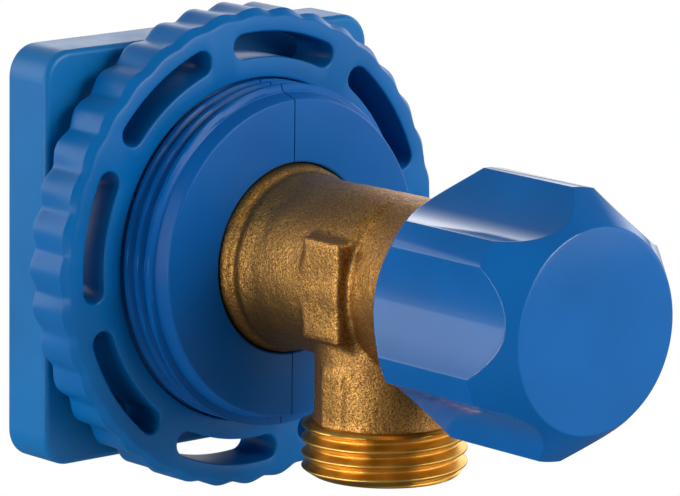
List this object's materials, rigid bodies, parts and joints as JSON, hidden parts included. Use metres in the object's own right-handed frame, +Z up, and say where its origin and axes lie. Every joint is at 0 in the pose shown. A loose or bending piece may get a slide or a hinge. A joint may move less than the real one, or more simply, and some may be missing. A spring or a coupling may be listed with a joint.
{
  "type": "angle valve",
  "caption": "Brass angle valve gripped in a square wall plate by a split hub and a lobed ring nut, with a downward threaded outlet and a blue knob with six flutes.",
  "frame": {"origin": "on the inlet axis, in the plane of the wall plate's back", "axes": "+Y out of the inlet, away from the knob; +Z up, with the outlet along -Z; +X to the right as seen from the knob's side"},
  "size_m": [0.062, 0.0923, 0.062],
  "materials": {
    "plate_plastic": "satin blue moulding",
    "ring_plastic": "satin blue moulding",
    "hub_plastic": "satin blue moulding",
    "knob_plastic": "glossy blue moulding",
    "cast_brass": "sand-cast skin with cut threads",
    "turned_brass": "turned",
    "seal_rubber": "black moulded",
    "insert_plastic": "white moulding",
    "clip_steel": "spring steel"
  },
  "bodies": {
    "valve": {"wall_plate": "plate_plastic", "hub_half_left": "hub_plastic", "hub_half_right": "hub_plastic", "valve_body": "cast_brass", "bonnet": "turned_brass", "bonnet_gasket": "seal_rubber", "slide_washer": "insert_plastic"},
    "handle": {"knob": "knob_plastic", "snap_insert": "insert_plastic", "spindle": "turned_brass", "spindle_o_rings": "seal_rubber", "retaining_clip": "clip_steel"},
    "plunger": {"plunger": "turned_brass", "valve_washer": "seal_rubber", "washer_screw": "turned_brass"},
    "ring": {"ring_nut": "ring_plastic"}
  },
  "joints": [
    {"name": "handle_turn", "type": "hinge", "parent": "valve", "child": "handle", "pos_m": [0, -0.07, 0], "axis": [0, -1, 0], "range_deg": [0, 990]},
    {"name": "plunger_lift", "type": "slide", "parent": "valve", "child": "plunger", "axis": [0, -1, 0], "range_m": [0, 0.00344]},
    {"name": "ring_turn", "type": "hinge", "parent": "valve", "child": "ring", "pos_m": [0, -0.01315, 0], "axis": [0, -1, 0], "range_deg": [0, 1220]}
  ],
  "couplings": [
    {"joint": "plunger_lift", "follows": "handle_turn", "m_per_rad": 0.00019894}
  ]
}
